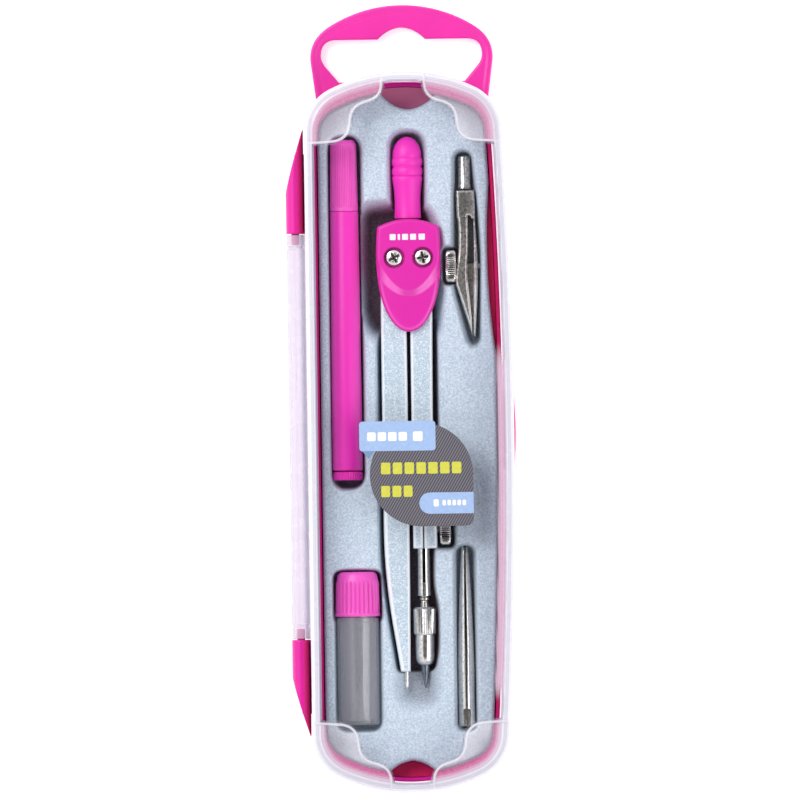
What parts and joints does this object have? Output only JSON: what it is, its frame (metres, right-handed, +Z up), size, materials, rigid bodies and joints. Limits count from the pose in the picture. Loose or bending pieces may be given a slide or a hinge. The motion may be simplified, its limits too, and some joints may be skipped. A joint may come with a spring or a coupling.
{
  "type": "drafting instrument case",
  "caption": "Hinged clear-lid case whose formed tray holds a compass, ruling pen, handle tube, spare lead container and pencil sleeve, with a hanging loop.",
  "frame": {"origin": "centre of the overall box on the face the case rests on", "axes": "+X across the case towards the latch, +Y along it towards the hanging loop, +Z up through the lid"},
  "size_m": [0.0566, 0.1968, 0.0211],
  "materials": {
    "magenta_plastic": "satin moulded",
    "pink_plastic": "satin moulded",
    "clear_plastic": "polished clear",
    "flocked_tray": "short flock",
    "silver_paint": "fine metallic",
    "nickel_plate": "nickel plated",
    "steel": "bright",
    "graphite": "dark sheen",
    "label_film": "printed film"
  },
  "bodies": {
    "case": {"case_base": "magenta_plastic", "insert_tray": "flocked_tray"},
    "lid": {"lid": "clear_plastic", "lid_label": "label_film"},
    "compass": {"compass_grip": "pink_plastic", "compass_head_front": "pink_plastic", "compass_head_back": "pink_plastic", "pivot_screw_left": "nickel_plate", "pivot_screw_right": "nickel_plate", "pivot_nut_left": "nickel_plate", "pivot_nut_right": "nickel_plate", "friction_washer_left": "steel", "friction_washer_right": "steel", "left_leg": "silver_paint", "right_leg": "silver_paint", "needle_point": "steel", "lead_holder_stem": "nickel_plate", "graphite_lead": "graphite"},
    "clamp_screw": {"clamp_thumbscrew": "nickel_plate"},
    "chuck_nut": {"lead_chuck_nut": "nickel_plate"},
    "ruling_pen": {"ruling_pen_body": "nickel_plate", "ruling_pen_fixed_blade": "nickel_plate", "ruling_pen_spring_blade": "nickel_plate"},
    "pen_screw": {"ruling_pen_screw": "nickel_plate"},
    "handle_tube": {"handle_tube_barrel": "pink_plastic", "handle_tube_end_plug": "pink_plastic"},
    "handle_cap": {"handle_tube_cap": "pink_plastic"},
    "lead_container": {"spare_lead_tube": "clear_plastic", "spare_lead_upper": "graphite", "spare_lead_lower": "graphite"},
    "container_cap": {"spare_lead_cap": "pink_plastic"},
    "sleeve": {"rolled_sleeve": "nickel_plate"}
  },
  "joints": [
    {"name": "lid_hinge", "type": "hinge", "parent": "case", "child": "lid", "pos_m": [-0.02605, -0.0092, 0.011], "axis": [0, -1, 0], "range_deg": [0, 175]},
    {"name": "compass_lift", "type": "slide", "parent": "case", "child": "compass", "axis": [0, 0, 1], "range_m": [0, 0.0045]},
    {"name": "ruling_pen_lift", "type": "slide", "parent": "case", "child": "ruling_pen", "axis": [0, 0, 1], "range_m": [0, 0.005]},
    {"name": "handle_tube_lift", "type": "slide", "parent": "case", "child": "handle_tube", "axis": [0, 0, 1], "range_m": [0, 0.005]},
    {"name": "lead_container_lift", "type": "slide", "parent": "case", "child": "lead_container", "axis": [0, 0, 1], "range_m": [0, 0.0045]},
    {"name": "sleeve_lift", "type": "slide", "parent": "case", "child": "sleeve", "axis": [0, 0, 1], "range_m": [0, 0.005]},
    {"name": "clamp_screw_turn", "type": "hinge", "parent": "compass", "child": "clamp_screw", "pos_m": [0.0104, -0.0327, 0.0087], "axis": [1, 0, 0], "range_deg": [0, 720]},
    {"name": "chuck_nut_turn", "type": "hinge", "parent": "compass", "child": "chuck_nut", "pos_m": [0.0049, -0.059, 0.0087], "axis": [0, -1, 0], "range_deg": [0, 720]},
    {"name": "pen_screw_turn", "type": "hinge", "parent": "ruling_pen", "child": "pen_screw", "pos_m": [0.0127, 0.0329, 0.0087], "axis": [-1, 0, 0], "range_deg": [0, 720]},
    {"name": "handle_cap_turn", "type": "hinge", "parent": "handle_tube", "child": "handle_cap", "pos_m": [-0.0138, 0.056, 0.0087], "axis": [0, 1, 0], "continuous": true},
    {"name": "container_cap_turn", "type": "hinge", "parent": "lead_container", "child": "container_cap", "pos_m": [-0.0118, -0.0487, 0.0087], "axis": [0, 1, 0], "range_deg": [0, 540]}
  ]
}
